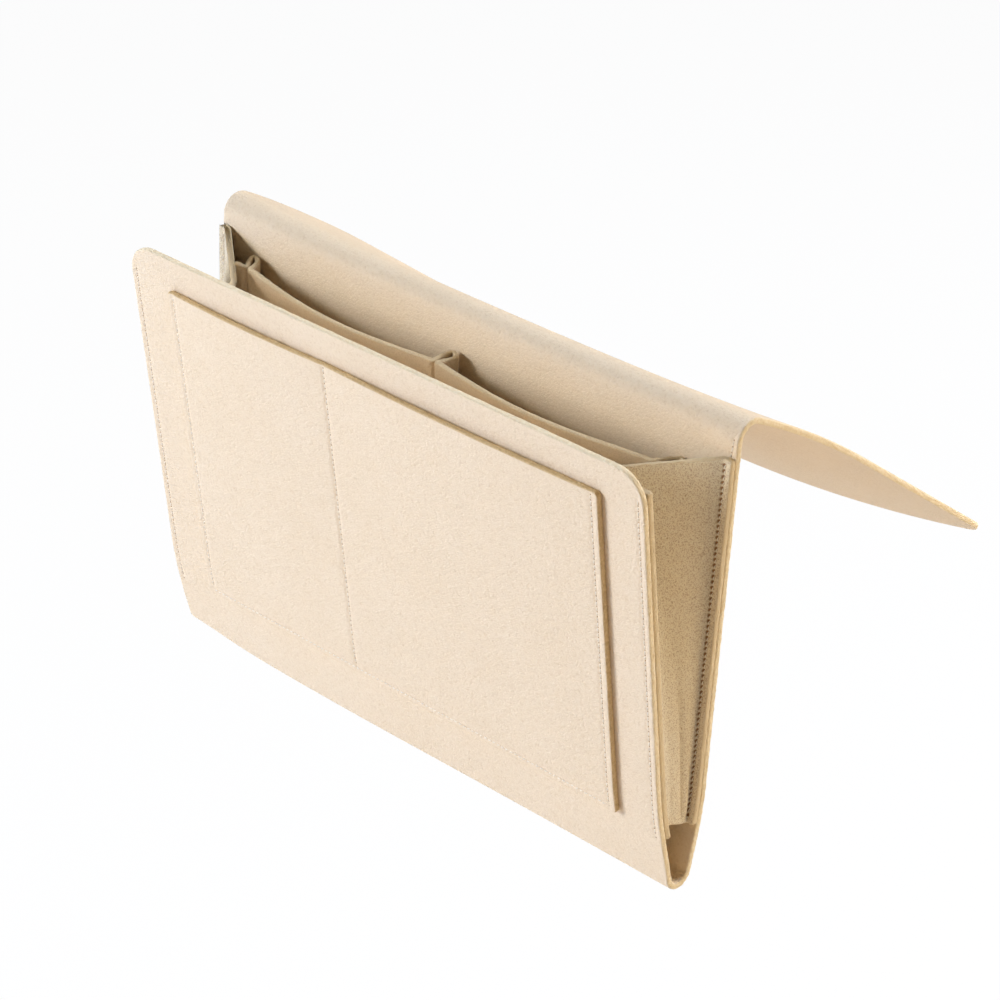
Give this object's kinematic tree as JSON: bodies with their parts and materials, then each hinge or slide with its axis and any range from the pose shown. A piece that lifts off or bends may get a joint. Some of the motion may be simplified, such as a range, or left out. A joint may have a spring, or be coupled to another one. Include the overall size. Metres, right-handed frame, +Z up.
{
  "type": "bedside caddy",
  "caption": "Thick felt bedside caddy: a folded sheet with side gussets, an outer and an inner pocket layer, and a flap that slides under a mattress.",
  "frame": {"origin": "middle of the back panel's flat rear face, which lies against the side of the bed", "axes": "+X along the bed, to the right as seen from the room; +Y into the bed, out of the rear face; +Z up"},
  "size_m": [0.3204, 0.258, 0.225],
  "materials": {
    "felt": "matt, close-pressed felt"
  },
  "bodies": {
    "back": {"back_panel": "felt", "bottom_fold": "felt", "top_bend": "felt", "gusset_left": "felt", "gusset_right": "felt", "pleat_left": "felt", "pleat_centre": "felt", "pleat_right": "felt", "pocket_wall_left": "felt", "pocket_wall_right": "felt"},
    "front": {"front_panel": "felt", "front_pocket": "felt"},
    "flap": {"mattress_flap": "felt"}
  },
  "joints": [
    {"name": "front_fold", "type": "hinge", "parent": "back", "child": "front", "pos_m": [0, -0.01906, -0.12509], "axis": [1, 0, 0], "range_deg": [-7, 12], "stiffness_Nm_per_rad": 1, "springref_deg": -1.72, "deforming": ["gusset_left", "gusset_right"]},
    {"name": "flap_bend", "type": "hinge", "parent": "back", "child": "flap", "pos_m": [0, 0.00214, 0.09096], "axis": [1, 0, 0], "range_deg": [-55, 120], "stiffness_Nm_per_rad": 0.8, "springref_deg": 4.58, "deforming": ["top_bend"]}
  ]
}
